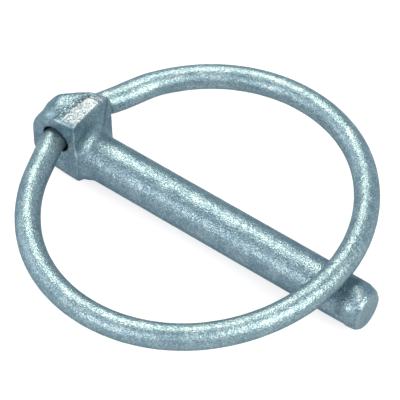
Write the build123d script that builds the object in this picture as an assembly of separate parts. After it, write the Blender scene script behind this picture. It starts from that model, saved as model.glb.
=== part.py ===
from build123d import *
import os
from math import asin, atan2, cos, degrees, hypot, sin, sqrt

# Quick lock pin: a round pin forged in one piece with an offset, pierced head, and one
# ring of spring wire whose two ends sit in the head's cross hole. The ring swings over
# the head and comes down on the pin near its tip.
#
# Frame: the origin is on the pin's axis, where the straight shank comes out of the flare
# under the shoulder. +X runs along the pin towards its tip, Y runs along the cross hole,
# and +Z is up, on the side where the ring rests. Sizes are in millimetres.

# Shank: straight for the hole that it locks, then drawn down a little under the ring
SHANK_DIAMETER = 6.35
STRAIGHT_LENGTH = 36.5
SHANK_LENGTH = 44.0
SHANK_END_DIAMETER = 6.2
TIP_TAPER_LENGTH = 1.7
TIP_BEVEL_LENGTH = 0.5
TIP_BEVEL_DIAMETER = 5.5
TIP_FACE_DIAMETER = 4.6
SHOULDER_FLARE_RADIUS = 1.7
FLARE_STEPS = 6

# Forged head, seen along the cross hole and measured from the shoulder and the pin's axis
HEAD_LENGTH = 8.7
HEAD_BELOW_AXIS = 3.25
NOSE_LEAN = 0.15
BROW_HEIGHT = 3.0
CROWN_INSET = 2.8
CROWN_HEIGHT = 6.9
DOME_RIDGE_HEIGHT = 7.45
DOME_SHOULDER_HEIGHT = 7.95
CHIN_DROP = 1.6
BELLY_INSET = 1.8
BELLY_HEIGHT = 0.5
BELLY_SETBACK = 1.0

# Forged head, seen from above
HEAD_FRONT = 3.4
HEAD_BACK = 4.7
NOSE_BACK = 0.2
CHEEK_SETBACK = 1.6
DOME_EDGE_RADIUS = 2.1

# Struck block in front, whose flat top and sharp edges stand a little proud of the dome
BLOCK_TOP_LENGTH = 3.6
BLOCK_TOP_NARROWING = 1.4
BLOCK_HEIGHT = 8.15
BLOCK_TOP_FALL = 0.55
BLOCK_BACK = 2.9
BLOCK_LENGTH = 5.3
BLOCK_CHEEK_HEIGHT = 4.6
BLOCK_TOP_CHAMFER = 0.4
BLOCK_FOOT_RADIUS = 0.7
BLOCK_BACK_RADIUS = 0.9

# Cross hole, measured from the shoulder and the pin's axis
HOLE_SETBACK = 3.45
HOLE_HEIGHT = 3.5

# Ring of spring wire, measured on the wire's centre line
WIRE_DIAMETER = 3.5
LOOP_START = 0.45
LOOP_WIDTH = 46.2
LOOP_SIDE_OFFSET = -1.0
END_BEND_RADIUS = 3.0
END_GAP = 0.8

# Clearances, and how far the tip stands out past the closed ring
HOLE_CLEARANCE = 0.7
STUB_LIE_BACK = 0.12
STUB_DROP = 0.15
BEND_SETOUT = 0.6
CLOSED_GAP = 0.05
TIP_OVERHANG = 3.07

shank_radius = SHANK_DIAMETER / 2
wire_radius = WIRE_DIAMETER / 2
taper_start_x = SHANK_LENGTH - TIP_TAPER_LENGTH
shoulder_x = -SHOULDER_FLARE_RADIUS
hinge_x = shoulder_x - HOLE_SETBACK - STUB_LIE_BACK
hinge_z = HOLE_HEIGHT - STUB_DROP
hole_middle_y = (HEAD_BACK - HEAD_FRONT) / 2
seat_x = SHANK_LENGTH - TIP_OVERHANG - wire_radius
loop_reach = seat_x - hinge_x
loop_length = loop_reach - LOOP_START


def dome_core(outline, plane, amount):
    """An outline drawn in by the dome's edge radius and run out both ways across its plane."""
    face = offset(make_face(Polyline(*outline, close=True)), -DOME_EDGE_RADIUS, kind=Kind.INTERSECTION)
    return extrude(plane * face, amount=amount, both=True)


def dome():
    """The forged dome: two crossed outlines, with every edge rounded by the same radius.

    The crossed outlines are drawn in by the edge radius first and grown by it afterwards,
    so the flats end up where the outlines put them. The outlines run past the shoulder by
    more than that radius, and the dome is cut off flat there.
    """
    past = 2 * DOME_EDGE_RADIUS
    side = [
        (past, -HEAD_BELOW_AXIS),
        (past, DOME_SHOULDER_HEIGHT),
        (0, DOME_SHOULDER_HEIGHT),
        (-BLOCK_TOP_LENGTH, DOME_RIDGE_HEIGHT),
        (CROWN_INSET - HEAD_LENGTH, CROWN_HEIGHT),
        (NOSE_LEAN - HEAD_LENGTH, BROW_HEIGHT),
        (-HEAD_LENGTH, -CHIN_DROP),
        (BELLY_INSET - HEAD_LENGTH, BELLY_HEIGHT - HEAD_BELOW_AXIS),
        (-BELLY_SETBACK, -HEAD_BELOW_AXIS),
    ]
    plan = [
        (past, -HEAD_FRONT),
        (past, HEAD_BACK),
        (-CHEEK_SETBACK, HEAD_BACK),
        (-HEAD_LENGTH, NOSE_BACK),
        (-HEAD_LENGTH, -HEAD_FRONT),
    ]
    across = HEAD_FRONT + HEAD_BACK
    core = dome_core(side, Plane.XZ, across) & dome_core(plan, Plane.XY, BLOCK_HEIGHT)
    grown = offset(core, DOME_EDGE_RADIUS, kind=Kind.ARC)
    return split(grown, Plane.YZ, keep=Keep.BOTTOM)


def struck_block():
    """The flat-topped block in front of the dome, between its face, the shoulder and the hole.

    Its front lies in the dome's front, and its lower and nose sides run out inside the dome.
    Its top narrows towards the back, where the slanting cheek takes off more of it.
    """
    belly_rise = BELLY_HEIGHT * (BLOCK_LENGTH - BELLY_SETBACK) / (HEAD_LENGTH - BELLY_INSET - BELLY_SETBACK)
    outline = Polyline(
        (0, -HEAD_BELOW_AXIS),
        (0, BLOCK_HEIGHT),
        (-BLOCK_TOP_LENGTH, BLOCK_HEIGHT - BLOCK_TOP_FALL),
        (-BLOCK_LENGTH, BLOCK_CHEEK_HEIGHT),
        (-BLOCK_LENGTH, belly_rise - HEAD_BELOW_AXIS),
        (-BELLY_SETBACK, -HEAD_BELOW_AXIS),
        close=True,
    )
    profile = Pos(0, BLOCK_BACK, 0) * (Plane.XZ * make_face(outline))
    block = extrude(profile, amount=HEAD_FRONT + BLOCK_BACK)
    top_corner = Vector(-BLOCK_TOP_LENGTH, -HEAD_FRONT, BLOCK_HEIGHT - BLOCK_TOP_FALL)
    down = Vector(-BLOCK_LENGTH, -HEAD_FRONT, BLOCK_CHEEK_HEIGHT) - top_corner
    backward = Vector(BLOCK_TOP_NARROWING, HEAD_FRONT + BLOCK_BACK, 0)
    block = split(block, Plane(top_corner, x_dir=down, z_dir=backward.cross(down)), keep=Keep.BOTTOM)
    front_edges = block.faces().sort_by(Axis.Y)[0].edges().sort_by(Axis.Z)
    block = chamfer(front_edges[-1], BLOCK_TOP_CHAMFER)
    front_edges = block.faces().sort_by(Axis.Y)[0].edges().sort_by(Axis.Z)
    block = fillet(front_edges[:2], BLOCK_FOOT_RADIUS)
    back_edges = block.faces().sort_by(Axis.Y)[-1].edges().sort_by(Axis.Z)
    return fillet(back_edges[-1], BLOCK_BACK_RADIUS)


def radius_at(x):
    """The shank's radius where it is drawn down, between its straight part and its tip."""
    share = (x - STRAIGHT_LENGTH) / (taper_start_x - STRAIGHT_LENGTH)
    return shank_radius + share * (SHANK_END_DIAMETER / 2 - shank_radius)


def shank():
    """The round shank, turned about the pin's axis, from the hole's line to the tip."""
    root = shoulder_x - HOLE_SETBACK
    outline = Polyline(
        (root, 0),
        (SHANK_LENGTH, 0),
        (SHANK_LENGTH, TIP_FACE_DIAMETER / 2),
        (SHANK_LENGTH - TIP_BEVEL_LENGTH, TIP_BEVEL_DIAMETER / 2),
        (taper_start_x, SHANK_END_DIAMETER / 2),
        (STRAIGHT_LENGTH, shank_radius),
        (root, shank_radius),
        close=True,
    )
    return revolve(Plane.XZ * make_face(outline), Axis.X)


def flare(head):
    """The hollow-sided flare between shank and shoulder, no wider than the shoulder.

    Its hollow side is turned as a few short chords, which keeps its facets light.
    """
    reach = SHOULDER_FLARE_RADIUS
    edge = (-reach, shank_radius + reach)
    foot = (0, shank_radius)
    curve = RadiusArc(edge, foot, -reach)
    chords = [curve @ (step / FLARE_STEPS) for step in range(FLARE_STEPS + 1)]
    bell = revolve(Plane.XZ * make_face(Polyline(*chords, (0, 0), (-reach, 0), close=True)), Axis.X)
    shoulder = head.faces().sort_by(Axis.X)[-1]
    return bell & extrude(shoulder, amount=reach)


def forged_pin():
    """The pin: pierced head, flared shoulder, round shank and tapered tip."""
    head = Pos(shoulder_x, 0, 0) * (dome() + struck_block())
    pin = head + shank() + flare(head)
    hole_axis = Pos(shoulder_x - HOLE_SETBACK, hole_middle_y, HOLE_HEIGHT) * Rot(X=90)
    hole_radius = wire_radius + HOLE_CLEARANCE / 2
    return pin - hole_axis * Cylinder(hole_radius, HEAD_FRONT + HEAD_BACK)


def loop_arcs():
    """Offset of the oval's arc centres from its middle, and the radius of its end arcs.

    The oval is four tangent arcs that meet at 45 degrees. The end arcs have their centres
    on the X axis and the side arcs on the Y axis, all at the same offset.
    """
    arc_offset = (LOOP_WIDTH - loop_length) / 2 / (2 - sqrt(2))
    return arc_offset, loop_length / 2 + arc_offset


def tangent_point(start, centre, radius):
    """Where the straight wire from a bend first touches the loop's near arc."""
    dx = centre[0] - start[0]
    dy = centre[1] - start[1]
    distance = hypot(dx, dy)
    side = 1 if start[1] > centre[1] else -1
    heading = atan2(dy, dx) + side * asin(radius / distance)
    length = sqrt(distance**2 - radius**2)
    return (start[0] + length * cos(heading), start[1] + length * sin(heading))


def ring_path():
    """The wire's centre line in its own plane, with the hinge axis on x = 0."""
    arc_offset, end_radius = loop_arcs()
    middle_x = loop_reach - loop_length / 2
    near_centre = (middle_x + arc_offset, LOOP_SIDE_OFFSET)
    corner_y = end_radius / sqrt(2)
    corner_x = corner_y - arc_offset
    corners = [
        (middle_x + side_x * corner_x, LOOP_SIDE_OFFSET + side_y * corner_y)
        for side_x, side_y in ((-1, -1), (1, -1), (1, 1), (-1, 1))
    ]
    front_bend = (0, -HEAD_FRONT - BEND_SETOUT)
    back_bend = (0, HEAD_BACK + BEND_SETOUT)
    back_touch = tangent_point(back_bend, near_centre, end_radius)
    with BuildLine() as path:
        piece = FilletPolyline(
            (0, hole_middle_y - END_GAP / 2),
            front_bend,
            tangent_point(front_bend, near_centre, end_radius),
            radius=END_BEND_RADIUS,
        )
        for point in corners + [back_touch]:
            piece = TangentArc(piece @ 1, point, tangent=piece % 1)
        FilletPolyline(
            piece @ 1,
            back_bend,
            (0, hole_middle_y + END_GAP / 2),
            radius=END_BEND_RADIUS,
        )
    return path.line


def wire_ring():
    """The spring ring: two straight ends in the hole, two bends and an oval loop."""
    path = ring_path()
    section = Plane(origin=path @ 0, z_dir=path % 0) * Circle(wire_radius)
    ring = sweep(section, path=path)
    rest_height = radius_at(seat_x) + wire_radius + CLOSED_GAP
    closed_tilt = degrees(asin((rest_height - hinge_z) / loop_reach))
    return Pos(hinge_x, 0, hinge_z) * Rot(Y=-closed_tilt) * ring


if __name__ == "__main__":
    os.makedirs("parts", exist_ok=True)
    export_step(forged_pin(), "parts/forged_pin.step")
    export_step(wire_ring(), "parts/wire_ring.step")
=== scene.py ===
import bpy
import numpy as np
from mathutils import Matrix, Vector, noise


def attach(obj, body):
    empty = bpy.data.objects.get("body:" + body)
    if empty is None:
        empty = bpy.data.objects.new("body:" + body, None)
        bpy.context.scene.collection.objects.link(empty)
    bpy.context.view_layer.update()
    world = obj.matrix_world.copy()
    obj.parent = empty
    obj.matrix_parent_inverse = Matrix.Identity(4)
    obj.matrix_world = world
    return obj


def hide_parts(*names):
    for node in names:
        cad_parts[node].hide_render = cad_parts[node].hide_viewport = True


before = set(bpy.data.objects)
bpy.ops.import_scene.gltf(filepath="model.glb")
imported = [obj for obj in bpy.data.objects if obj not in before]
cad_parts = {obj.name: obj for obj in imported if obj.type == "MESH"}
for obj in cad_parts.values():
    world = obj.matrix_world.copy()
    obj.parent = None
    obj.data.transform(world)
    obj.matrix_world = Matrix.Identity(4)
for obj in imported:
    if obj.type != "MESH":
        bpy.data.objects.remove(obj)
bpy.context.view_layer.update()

# Meshes are worked on in millimetres and scaled to metres at the end
MM = 0.001

# Fine meshes: the size of their even grid, and rounds of smoothing
PIN_VOXEL = 0.135
PIN_ROUNDS = 7
RING_VOXEL = 0.155
RING_ROUNDS = 8
# In a round each point goes this share of the way to its neighbours' mean
HALFWAY = 0.5

# The tip keeps its edges: beyond this X only this share of the smoothing is done
TIP_START = 41.5
TIP_SMOOTHING = 0.12

# The tip was cut a little askew: over this run it grows, and moves to the front and down
ASKEW_START = 41.9
ASKEW_RUN = 2.1
ASKEW_GROWTH = 0.07
ASKEW_FRONT = 0.14
ASKEW_DOWN = 0.2

# Noise on the surfaces: the size of its lumps and a seed, and how far it pushes them. The
# head's own lumps lie below HEAD_END in X
RAGGED = (0.55, 5)
WANDER = (1.3, 6)
PIN_SKIN = (1.1, 1)
PIN_SKIN_PUSH = 0.018
HEAD_LUMPS = (2.8, 2)
HEAD_LUMPS_PUSH = 0.05
HEAD_END = -1.2
WIRE_LUMPS = (0.9, 3)
WIRE_LUMPS_PUSH = 0.015
# The noise is moved by SEED_MOVE times its seed. Each further layer is finer by LAYER_FINER,
# and weaker by that number to the power of LAYER_LOSS
SEED_MOVE = (17.3, 7.9, 3.1)
LAYERS = 2
LAYER_LOSS = 1.0
LAYER_FINER = 2.0

# Marks of the forging on top of the head: lines seen from above, at about the height of its
# flat top. They are made only above MARKS_ABOVE. A pair is an even and a ragged part
TOP = 7.65
MARKS_ABOVE = 6.3
FLASH_GROOVE = [
    (-4.8, -2.3), (-4.55, -1.3), (-4.47, -0.4), (-4.35, 0.3), (-4.2, 1.4), (-3.85, 2.5),
    (-3.2, 3.2),
]
GROOVE_WIDTH = 0.19
GROOVE_DEPTH = (0.2, 0.15)
FLASH_RIDGE = [(-5.35, -2.1), (-5.08, -1.2), (-4.85, 0.2), (-4.6, 1.2), (-4.3, 2.3)]
RIDGE_WIDTH = 0.27
RIDGE_HEIGHT = (0.1, 0.1)
RIM_GROOVE = [(-4.7, -2.2), (-3.6, -2.55), (-2.6, -2.92), (-1.9, -3.1)]
RIM_GROOVE_WIDTH = 0.14
RIM_GROOVE_DEPTH = 0.09

# How far those lines and the struck flat's edge stray from their courses
STRAY_RAGGED_X = 0.6
STRAY_WANDER_X = 0.5
STRAY_WANDER_Y = 0.3

# The flat that was struck on top of the head: its outline from above, where it starts in
# height, how much it has to face upwards, and how much its edge is softened. Its colour is
# painted lighter, a painted highlight where it faces up
STRUCK_FLAT = [
    (-1.2, -3.05), (-4.3, -2.35), (-4.5, -2.0), (-4.25, -0.65), (-4.15, 0.36),
    (-3.97, 1.63), (-3.48, 2.86), (-3.1, 3.6), (-2.6, 4.2), (-1.2, 4.2),
]
STRUCK_ABOVE = 6.8
STRUCK_FACING = 0.55
STRUCK_ROUNDS = 3

# Pits: middle, radius and depth
PITS = [
    ((-4.4, 0.15, 7.6), 0.28, 0.12),
    ((-5.0, -2.9, 7.5), 0.5, 0.1),
    ((-3.8, 2.5, 7.6), 0.28, 0.1),
]

# A line left by the dies at the back of the shoulder
DIE_LINE = [(-1.7, 4.0, 6.9), (-1.7, 3.45, 5.2), (-1.7, 3.1, 3.4)]
DIE_LINE_WIDTH = 0.35
DIE_LINE_DEPTH = 0.1

# The dome is fuller at the back of its ridge
DOME_BACK = [
    (-8.35, 0.0, 5.3), (-7.95, 0.35, 5.95), (-7.2, 1.0, 6.8), (-6.4, 1.7, 7.0),
    (-5.3, 2.3, 7.2), (-4.3, 2.9, 7.4),
]
DOME_BACK_WIDTH = 1.1
DOME_BACK_HEIGHT = 0.42

# The neck is fuller on its lower front side, where NECK_SIDE points to in Y and Z
NECK_X = -0.4
NECK_WIDTH = 0.75
NECK_SIDE = (-0.83, -0.55)
NECK_RADIUS = 3.4
NECK_POWER = 4
NECK_HEIGHT = 0.42

# Painted highlights along lines on the head's front edge and top rim and on small flats at the
# tip: course, width, and the even and ragged part of the painted highlight
FRONT_EDGE = [(-1.72, -3.38, 7.5), (-1.7, -3.38, 3.0), (-1.55, -3.4, 0.3), (-1.62, -3.3, -2.0)]
FRONT_GLINT = [(-1.66, -3.38, 3.6), (-1.5, -3.4, 0.6)]
TOP_RIM = [(-5.0, -3.28, 7.35), (-1.75, -3.12, 7.88)]
HIGHLIGHT_LINES = [
    (FRONT_EDGE, 0.11, 0.2, 0.8),
    (FRONT_GLINT, 0.1, 0.7, 1.0),
    (TOP_RIM, 0.15, 0.7, 1.2),
    # Painted highlights on small flats at the tip
    ([(42.5, -0.45, 3.0), (43.1, -1.1, 2.65)], 0.24, 0.75, 1.2),
    ([(43.6, -1.1, 2.4), (43.85, -1.65, 1.75)], 0.13, 0.75, 1.2),
    ([(42.1, -2.55, 1.75), (42.6, -2.4, 1.9)], 0.2, 0.75, 1.2),
    ([(41.6, -0.3, 3.1), (41.8, 0.15, 3.1)], 0.16, 0.75, 1.2),
]

# The pin's end face is painted a little lighter too
END_FACE = 43.75
END_FACE_RUN = 0.2
END_FACE_LIGHTER = 0.3

# Painted shade in the die line and its run into the flare, in the flash groove outside the
# struck flat, and as a spot in the flare. The band on the upper side before the tip is the
# ring's painted shadow
SHADE_LINE = DIE_LINE + [(-1.2, 2.2, 3.4), (0.6, 1.1, 3.2)]
SHADE_LINE_WIDTH = 0.3
SHADE_GROOVE_WIDTH = 0.25
SHADE_GROOVE_AMOUNT = 1.3
# The ring's painted shadow: a band on the upper side before the tip
RING_SHADOW_X = 41.15
RING_SHADOW_WIDTH = 0.6
RING_SHADOW_ABOVE = 0.3
SHADE_SPOT = (-1.2, -1.3, 3.5)
SHADE_SPOT_RADIUS = 0.9
SHADE_SPOT_AMOUNT = 0.7

# Behind the head the wire leaves the hole a little nearer to the shoulder: it moves in X over
# the run after one Y and comes back over the run after another, below WIRE_MOVE_END in X
WIRE_LEAVES_Y = 3.9
WIRE_LEAVES_RUN = 2.0
WIRE_RETURNS_Y = 6.0
WIRE_RETURNS_RUN = 7.0
WIRE_MOVE = 0.95
WIRE_MOVE_END = 6

# Zinc: dark, middle and light colour of each piece, and where in the cloud they stand
PIN_COLOURS = [(0.121, 0.2, 0.26), (0.165, 0.265, 0.332), (0.275, 0.375, 0.425)]
RING_COLOURS = [(0.14, 0.225, 0.285), (0.19, 0.3, 0.36), (0.32, 0.43, 0.47)]
COLOUR_STOPS = (0.55, 0.68, 0.81)
# Clouds: size in millimetres, detail and roughness
SPECK_CLOUD = (0.24, 3, 0.65)
PATCH_CLOUD = (2.2, 2, 0.55)
PATCH_SHARE = 0.35
# The struck flat's painted highlight: its cloud, its colours and where they stand
STRUCK_HIGHLIGHT_CLOUD = (0.26, 3, 0.65)
STRUCK_HIGHLIGHT_COLOURS = [(0.1, 0.15, 0.18), (0.24, 0.31, 0.36), (0.35, 0.43, 0.49)]
STRUCK_HIGHLIGHT_STOPS = (0.36, 0.45, 0.6)
SHEEN_CLOUD = (0.5, 2, 0.55)
SHEEN_SPAN = (0.3, 0.7, 0.25, 0.39)
# Colour of the painted highlights, and how far it covers the zinc
HIGHLIGHT_COLOUR = (0.5, 0.62, 0.67)
HIGHLIGHT_AMOUNT = 0.8
# Colour of the painted shade and shadow, and how far it covers the zinc
SHADE_COLOUR = (0.06, 0.105, 0.12)
SHADE_AMOUNT = 0.6
METALLIC = 0.8
EDGE_TINT = (0.35, 0.45, 0.5)
# Bumps: their cloud, and their height in millimetres
COARSE_BUMP = ((0.6, 2, 0.5), 0.07)
FINE_BUMP = ((0.18, 1.5, 0.55), 0.067)
# The clouds are moved by CLOUD_MOVE times the material's seed, in metres
CLOUD_MOVE = (0.13, 0.07, 0.05)

# Floor: half its side in metres, its height in millimetres, and how bright it glows to the
# camera and to rays from shiny or clear surfaces
FLOOR_HALF = 3.0
FLOOR_LEVEL = -3.34
FLOOR_COLOUR = (0.29, 0.3, 0.32)
FLOOR_GLOW_SEEN = 0.74
FLOOR_GLOW_MIRRORED = 0.52

WORLD_COLOUR = (0.77, 0.9, 1.0)
WORLD_STRENGTH = 0.67

# Lamps, in metres: name, the way to it from the target, size, energy and colour
LAMP_TARGET = Vector((0.0153, 0.002, 0.0))
LAMP_DISTANCE = 0.6
LAMPS = [
    ("lamp_back", (-0.44, 0.36, 0.83), 0.31, 2.6, (1, 0.82, 0.62)),
    ("lamp_right", (0.72, 0.0, 0.64), 0.46, 4.15, (1, 0.83, 0.65)),
    ("lamp_front", (-0.2, -0.845, 0.485), 0.22, 1.38, (1, 0.84, 0.72)),
    ("lamp_low", (-0.03, -0.98, 0.14), 0.26, 0.25, (1, 0.86, 0.78)),
    ("lamp_left", (-0.88, -0.3, 0.38), 0.4, 0.9, (1, 0.89, 0.82)),
    ("lamp_fore", (0.45, -0.62, 0.64), 0.4, 0.4, (1, 0.89, 0.82)),
]

# Camera, as fitted to the photo: place in millimetres, axes of its picture, focal length
# and picture width in pixels, sensor in millimetres, and clipping in metres
CAMERA_EYE = Vector((131.058, -148.323, 226.745))
CAMERA_RIGHT = Vector((0.79995, 0.59997, -0.01066))
CAMERA_DOWN = Vector((0.45475, -0.61772, -0.64158))
CAMERA_FORWARD = Vector((-0.39151, 0.50838, -0.76698))
FOCAL_PIXELS = 2199.96
PICTURE_PIXELS = 400
SENSOR = 36
CLIP_NEAR = 0.01
CLIP_FAR = 10

scene = bpy.context.scene


def fine_copy(node, name, voxel):
    """A copy of a CAD node's surface as an even, fine mesh, in millimetres."""
    piece = bpy.data.objects.new(name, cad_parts[node].data.copy())
    scene.collection.objects.link(piece)
    piece.data.materials.clear()
    piece.data.transform(Matrix.Scale(1 / MM, 4))
    even = piece.modifiers.new("even", "REMESH")
    even.mode = "VOXEL"
    even.voxel_size = voxel
    graph = bpy.context.evaluated_depsgraph_get()
    mesh = bpy.data.meshes.new_from_object(piece.evaluated_get(graph))
    piece.modifiers.clear()
    piece.data = mesh
    mesh.name = name
    return piece


def points_of(mesh):
    co = np.zeros(len(mesh.vertices) * 3)
    mesh.vertices.foreach_get("co", co)
    return co.reshape(-1, 3)


def normals_of(mesh):
    nor = np.zeros(len(mesh.vertices) * 3, np.float32)
    mesh.vertex_normals.foreach_get("vector", nor)
    return nor.reshape(-1, 3).astype(float)


def put_points(mesh, co):
    mesh.vertices.foreach_set("co", co.astype(np.float32).ravel())
    mesh.update()


def put_mask(mesh, name, values):
    """A mask for the material to read, from 0 to 1 at each point."""
    mask = mesh.attributes.new(name, "FLOAT", "POINT")
    mask.data.foreach_set("value", np.clip(values, 0, 1).astype(np.float32))


def smoothed(mesh, co, rounds, weight=None):
    """Points moved towards the mean of their neighbours, again and again."""
    edges = np.zeros(len(mesh.edges) * 2, np.int32)
    mesh.edges.foreach_get("vertices", edges)
    a, b = edges[0::2], edges[1::2]
    count = np.bincount(a, minlength=len(co)) + np.bincount(b, minlength=len(co))
    share = HALFWAY if weight is None else HALFWAY * weight[:, None]
    for _ in range(rounds):
        total = np.zeros_like(co)
        for k in range(3):
            total[:, k] = np.bincount(a, co[b, k], len(co)) + np.bincount(b, co[a, k], len(co))
        co = co + share * (total / count[:, None] - co)
    return co


def noise_at(co, size, seed):
    """Smooth noise from about -1 to 1 at each point, with lumps of about the given size."""
    shift = Vector([seed * part for part in SEED_MOVE])
    return np.array(
        [noise.fractal(Vector(p) / size + shift, LAYER_LOSS, LAYER_FINER, LAYERS) for p in co]
    )


def ramped(value, start, run):
    """0 up to the start, rising evenly to 1 over the run that follows."""
    return np.clip((value - start) / run, 0, 1)


def eased(share):
    """The same from 0 to 1, but level at both ends."""
    return share**2 * (3 - 2 * share)


def fade(distance, width):
    """1 at no distance, falling smoothly to 0 over about the width."""
    return np.exp(-((distance / width) ** 2))


def around(co, middle, radius):
    """1 at a place, falling smoothly to 0 over about the radius."""
    return fade(np.linalg.norm(co - np.array(middle), axis=1), radius)


def along(co, line, width):
    """1 on a line of straight runs, falling smoothly to 0 over about the width."""
    line = np.array(line, float)
    best = np.full(len(co), np.inf)
    for start, end in zip(line[:-1], line[1:]):
        run = end - start
        share = np.clip((co - start) @ run / (run @ run), 0, 1)
        best = np.minimum(best, np.linalg.norm(co - start - share[:, None] * run, axis=1))
    return fade(best, width)


def at_top(line):
    """A line seen from above, at the height of the head's flat top."""
    return [(x, y, TOP) for x, y in line]


def inside(co, corners):
    """Whether each point lies in a flat outline, seen from above."""
    found = np.zeros(len(co), bool)
    x, y = co[:, 0], co[:, 1]
    for (x0, y0), (x1, y1) in zip(corners, corners[1:] + corners[:1]):
        if y0 != y1:
            crosses = (y0 > y) != (y1 > y)
            found ^= crosses & (x < (x1 - x0) * (y - y0) / (y1 - y0) + x0)
    return found


# Pin: smoothed, and its tip put askew
pin = fine_copy("forged_pin", "forged_pin_zinc", PIN_VOXEL)
co = points_of(pin.data)
co = smoothed(pin.data, co, PIN_ROUNDS, np.where(co[:, 0] > TIP_START, TIP_SMOOTHING, 1.0))
tip = ramped(co[:, 0], ASKEW_START, ASKEW_RUN)
co[:, 1] += tip * (ASKEW_GROWTH * co[:, 1] - ASKEW_FRONT)
co[:, 2] += tip * (ASKEW_GROWTH * co[:, 2] - ASKEW_DOWN)
put_points(pin.data, co)
nor = normals_of(pin.data)

# Pin: each point is pushed along its normal by the lumps and the marks of the forging
ragged = noise_at(co, *RAGGED)
wander = noise_at(co, *WANDER)
push = noise_at(co, *PIN_SKIN) * PIN_SKIN_PUSH
push += np.where(co[:, 0] < HEAD_END, noise_at(co, *HEAD_LUMPS) * HEAD_LUMPS_PUSH, 0.0)
loose = co.copy()
loose[:, 0] += STRAY_RAGGED_X * ragged + STRAY_WANDER_X * wander
loose[:, 1] += STRAY_WANDER_Y * wander
loose[:, 2] = TOP
top = co[:, 2] > MARKS_ABOVE
groove = along(loose, at_top(FLASH_GROOVE), GROOVE_WIDTH)
ridge = along(loose, at_top(FLASH_RIDGE), RIDGE_WIDTH)
rim = along(co, at_top(RIM_GROOVE), RIM_GROOVE_WIDTH)
push -= top * (groove * (GROOVE_DEPTH[0] + GROOVE_DEPTH[1] * ragged) + rim * RIM_GROOVE_DEPTH)
push += top * ridge * (RIDGE_HEIGHT[0] + RIDGE_HEIGHT[1] * ragged)
for middle, radius, depth in PITS:
    push -= around(co, middle, radius) * depth
push -= along(co, DIE_LINE, DIE_LINE_WIDTH) * DIE_LINE_DEPTH
push += along(co, DOME_BACK, DOME_BACK_WIDTH) * DOME_BACK_HEIGHT
side = co[:, 1] * NECK_SIDE[0] + co[:, 2] * NECK_SIDE[1]
neck = fade(co[:, 0] - NECK_X, NECK_WIDTH) * ramped(side, 0, NECK_RADIUS) ** NECK_POWER
push += neck * NECK_HEIGHT
co = co + nor * push[:, None]
put_points(pin.data, co)

# Pin: masks of the painted highlight on the struck flat, of the other painted highlights and
# of the painted shade
flat = inside(loose, STRUCK_FLAT) & (co[:, 2] > STRUCK_ABOVE) & (nor[:, 2] > STRUCK_FACING)
# The smoothing takes three columns, as for points, and one of them is kept
flat = np.repeat(flat.astype(float)[:, None], 3, 1)
flat = smoothed(pin.data, flat, STRUCK_ROUNDS)[:, 0]
put_mask(pin.data, "struck_highlight", flat)
# Painted highlights along the lines, and the end face painted lighter
painted_highlight = ramped(co[:, 0], END_FACE, END_FACE_RUN) * END_FACE_LIGHTER
for line, width, even, uneven in HIGHLIGHT_LINES:
    painted_highlight += along(co, line, width) * np.clip(even + uneven * ragged, 0, 1)
put_mask(pin.data, "painted_highlight", painted_highlight)
# Painted shade in the die line and the flash groove, and a spot of painted shade in the flare
painted_shade = along(co, SHADE_LINE, SHADE_LINE_WIDTH)
groove = along(loose, at_top(FLASH_GROOVE), SHADE_GROOVE_WIDTH)
painted_shade += top * (1 - flat) * groove * SHADE_GROOVE_AMOUNT
# The ring's painted shadow on the upper side before the tip
painted_shade += fade(co[:, 0] - RING_SHADOW_X, RING_SHADOW_WIDTH) * (co[:, 2] > RING_SHADOW_ABOVE)
painted_shade += around(co, SHADE_SPOT, SHADE_SPOT_RADIUS) * SHADE_SPOT_AMOUNT
put_mask(pin.data, "painted_shade", painted_shade)

# Ring: smoothed, moved where it leaves the hole, and given the lumps of its zinc
ring = fine_copy("wire_ring", "wire_ring_zinc", RING_VOXEL)
co = smoothed(ring.data, points_of(ring.data), RING_ROUNDS)
put_points(ring.data, co)
leaves = eased(ramped(co[:, 1], WIRE_LEAVES_Y, WIRE_LEAVES_RUN))
returns = eased(ramped(co[:, 1], WIRE_RETURNS_Y, WIRE_RETURNS_RUN))
co[:, 0] += (co[:, 0] < WIRE_MOVE_END) * WIRE_MOVE * leaves * (1 - returns)
lumps = noise_at(co, *WIRE_LUMPS) * WIRE_LUMPS_PUSH
co = co + normals_of(ring.data) * lumps[:, None]
put_points(ring.data, co)

for piece in (pin, ring):
    piece.data.transform(Matrix.Scale(MM, 4))
    for face in piece.data.polygons:
        face.use_smooth = True


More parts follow.
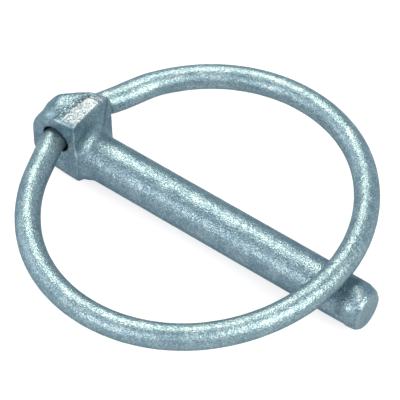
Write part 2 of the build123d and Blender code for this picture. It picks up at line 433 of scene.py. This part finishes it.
def material(name, seed, colours, marks):
    """Zinc, made of nodes. With marks it reads the pin's masks for its painted highlights and
    shade.
    """
    made = bpy.data.materials.new(name)
    made.use_nodes = True
    tree = made.node_tree
    tree.nodes.clear()
    new = tree.nodes.new
    link = tree.links.new
    out = new("ShaderNodeOutputMaterial")
    shader = new("ShaderNodeBsdfPrincipled")
    link(shader.outputs["BSDF"], out.inputs["Surface"])
    place = new("ShaderNodeTexCoord")
    move = new("ShaderNodeMapping")
    move.inputs["Location"].default_value = [seed * part for part in CLOUD_MOVE]
    link(place.outputs["Object"], move.inputs["Vector"])

    def cloud(size, detail, roughness):
        node = new("ShaderNodeTexNoise")
        node.inputs["Scale"].default_value = 1 / (size * MM)
        node.inputs["Detail"].default_value = detail
        node.inputs["Roughness"].default_value = roughness
        link(move.outputs["Vector"], node.inputs["Vector"])
        return node.outputs["Fac"]

    def ramp(value, stops, stop_colours):
        node = new("ShaderNodeValToRGB")
        while len(node.color_ramp.elements) < len(stops):
            node.color_ramp.elements.new(0.5)
        for element, at, colour in zip(node.color_ramp.elements, stops, stop_colours):
            element.position = at
            element.color = (*colour, 1)
        link(value, node.inputs["Fac"])
        return node.outputs["Color"]

    def span(value, low, high, to_low, to_high):
        node = new("ShaderNodeMapRange")
        for key, number in (
            ("From Min", low), ("From Max", high), ("To Min", to_low), ("To Max", to_high),
        ):
            node.inputs[key].default_value = number
        link(value, node.inputs["Value"])
        return node.outputs["Result"]

    def marked(mask_name, below, above, amount):
        """The colour below, with a colour or another output over it where the mask is."""
        mask = new("ShaderNodeAttribute")
        mask.attribute_name = mask_name
        blend = new("ShaderNodeMix")
        blend.data_type = "RGBA"
        link(span(mask.outputs["Fac"], 0, 1, 0, amount), blend.inputs["Factor"])
        link(below, blend.inputs["A"])
        if isinstance(above, tuple):
            blend.inputs["B"].default_value = (*above, 1)
        else:
            link(above, blend.inputs["B"])
        return blend.outputs["Result"]

    def bump(height_cloud, height):
        node = new("ShaderNodeBump")
        node.inputs["Strength"].default_value = 1.0
        node.inputs["Distance"].default_value = height * MM
        link(cloud(*height_cloud), node.inputs["Height"])
        return node

    mixed = new("ShaderNodeMath")
    mixed.operation = "MULTIPLY_ADD"
    link(cloud(*PATCH_CLOUD), mixed.inputs[0])
    mixed.inputs[1].default_value = PATCH_SHARE
    link(cloud(*SPECK_CLOUD), mixed.inputs[2])
    colour = ramp(mixed.outputs[0], COLOUR_STOPS, colours)
    if marks:
        # Painted highlight on the struck flat
        bright = ramp(cloud(*STRUCK_HIGHLIGHT_CLOUD), STRUCK_HIGHLIGHT_STOPS, STRUCK_HIGHLIGHT_COLOURS)
        colour = marked("struck_highlight", colour, bright, 1)
        # Painted highlights
        colour = marked("painted_highlight", colour, HIGHLIGHT_COLOUR, HIGHLIGHT_AMOUNT)
        # Painted shade and painted shadow
        colour = marked("painted_shade", colour, SHADE_COLOUR, SHADE_AMOUNT)
    link(colour, shader.inputs["Base Color"])
    link(span(cloud(*SHEEN_CLOUD), *SHEEN_SPAN), shader.inputs["Roughness"])
    shader.inputs["Metallic"].default_value = METALLIC
    shader.inputs["Specular Tint"].default_value = (*EDGE_TINT, 1)
    coarse = bump(*COARSE_BUMP)
    fine = bump(*FINE_BUMP)
    link(coarse.outputs["Normal"], fine.inputs["Normal"])
    link(fine.outputs["Normal"], shader.inputs["Normal"])
    return made


pin.data.materials.append(material("pin_zinc_look", 1, PIN_COLOURS, True))
ring.data.materials.append(material("ring_zinc_look", 2, RING_COLOURS, False))
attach(pin, "pin")
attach(ring, "ring")
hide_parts("forged_pin")
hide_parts("wire_ring")

# Floor
level = FLOOR_LEVEL * MM
corners = [(-1, -1), (1, -1), (1, 1), (-1, 1)]
floor_mesh = bpy.data.meshes.new("floor")
floor_mesh.from_pydata(
    [(x * FLOOR_HALF, y * FLOOR_HALF, level) for x, y in corners], [], [(0, 1, 2, 3)]
)
floor = bpy.data.objects.new("floor", floor_mesh)
scene.collection.objects.link(floor)


def floor_paint():
    """A matte paint that glows to the camera, less so to rays from shiny or clear surfaces."""
    paint = bpy.data.materials.new("floor_paint")
    paint.use_nodes = True
    tree = paint.node_tree
    tree.nodes.clear()
    new = tree.nodes.new
    link = tree.links.new

    def worked_out(operation, *values):
        node = new("ShaderNodeMath")
        node.operation = operation
        for entry, value in zip(node.inputs, values):
            if isinstance(value, float):
                entry.default_value = value
            else:
                link(value, entry)
        return node.outputs[0]

    out = new("ShaderNodeOutputMaterial")
    diffuse = new("ShaderNodeBsdfDiffuse")
    diffuse.inputs["Color"].default_value = (*FLOOR_COLOUR, 1)
    glow = new("ShaderNodeEmission")
    ray = new("ShaderNodeLightPath").outputs
    shiny = worked_out("MAXIMUM", ray["Is Glossy Ray"], ray["Is Transmission Ray"])
    mirrored = worked_out("MULTIPLY", shiny, FLOOR_GLOW_MIRRORED)
    strength = worked_out("MULTIPLY_ADD", ray["Is Camera Ray"], FLOOR_GLOW_SEEN, mirrored)
    link(strength, glow.inputs["Strength"])
    both = new("ShaderNodeAddShader")
    link(diffuse.outputs[0], both.inputs[0])
    link(glow.outputs[0], both.inputs[1])
    link(both.outputs[0], out.inputs["Surface"])
    return paint


floor_mesh.materials.append(floor_paint())

# World
world = bpy.data.worlds.new("studio")
scene.world = world
world.use_nodes = True
sky = world.node_tree.nodes["Background"]
sky.inputs["Color"].default_value = (*WORLD_COLOUR, 1)
sky.inputs["Strength"].default_value = WORLD_STRENGTH

# Lamps
for name, towards, size, energy, colour in LAMPS:
    data = bpy.data.lights.new(name, "AREA")
    data.shape = "DISK"
    data.size = size
    data.energy = energy
    data.color = colour
    lamp = bpy.data.objects.new(name, data)
    scene.collection.objects.link(lamp)
    way = Vector(towards).normalized()
    lamp.location = LAMP_TARGET + way * LAMP_DISTANCE
    lamp.rotation_mode = "QUATERNION"
    lamp.rotation_quaternion = way.to_track_quat("Z", "Y")

# Camera
camera_data = bpy.data.cameras.new("camera")
camera_data.sensor_fit = "HORIZONTAL"
camera_data.sensor_width = SENSOR
camera_data.lens = FOCAL_PIXELS * SENSOR / PICTURE_PIXELS
camera_data.clip_start = CLIP_NEAR
camera_data.clip_end = CLIP_FAR
camera = bpy.data.objects.new("camera", camera_data)
scene.collection.objects.link(camera)
basis = Matrix((CAMERA_RIGHT, -CAMERA_DOWN, -CAMERA_FORWARD)).transposed()
camera.rotation_mode = "QUATERNION"
camera.rotation_quaternion = basis.to_quaternion()
camera.location = CAMERA_EYE * MM
scene.camera = camera

scene.view_settings.view_transform = "Standard"
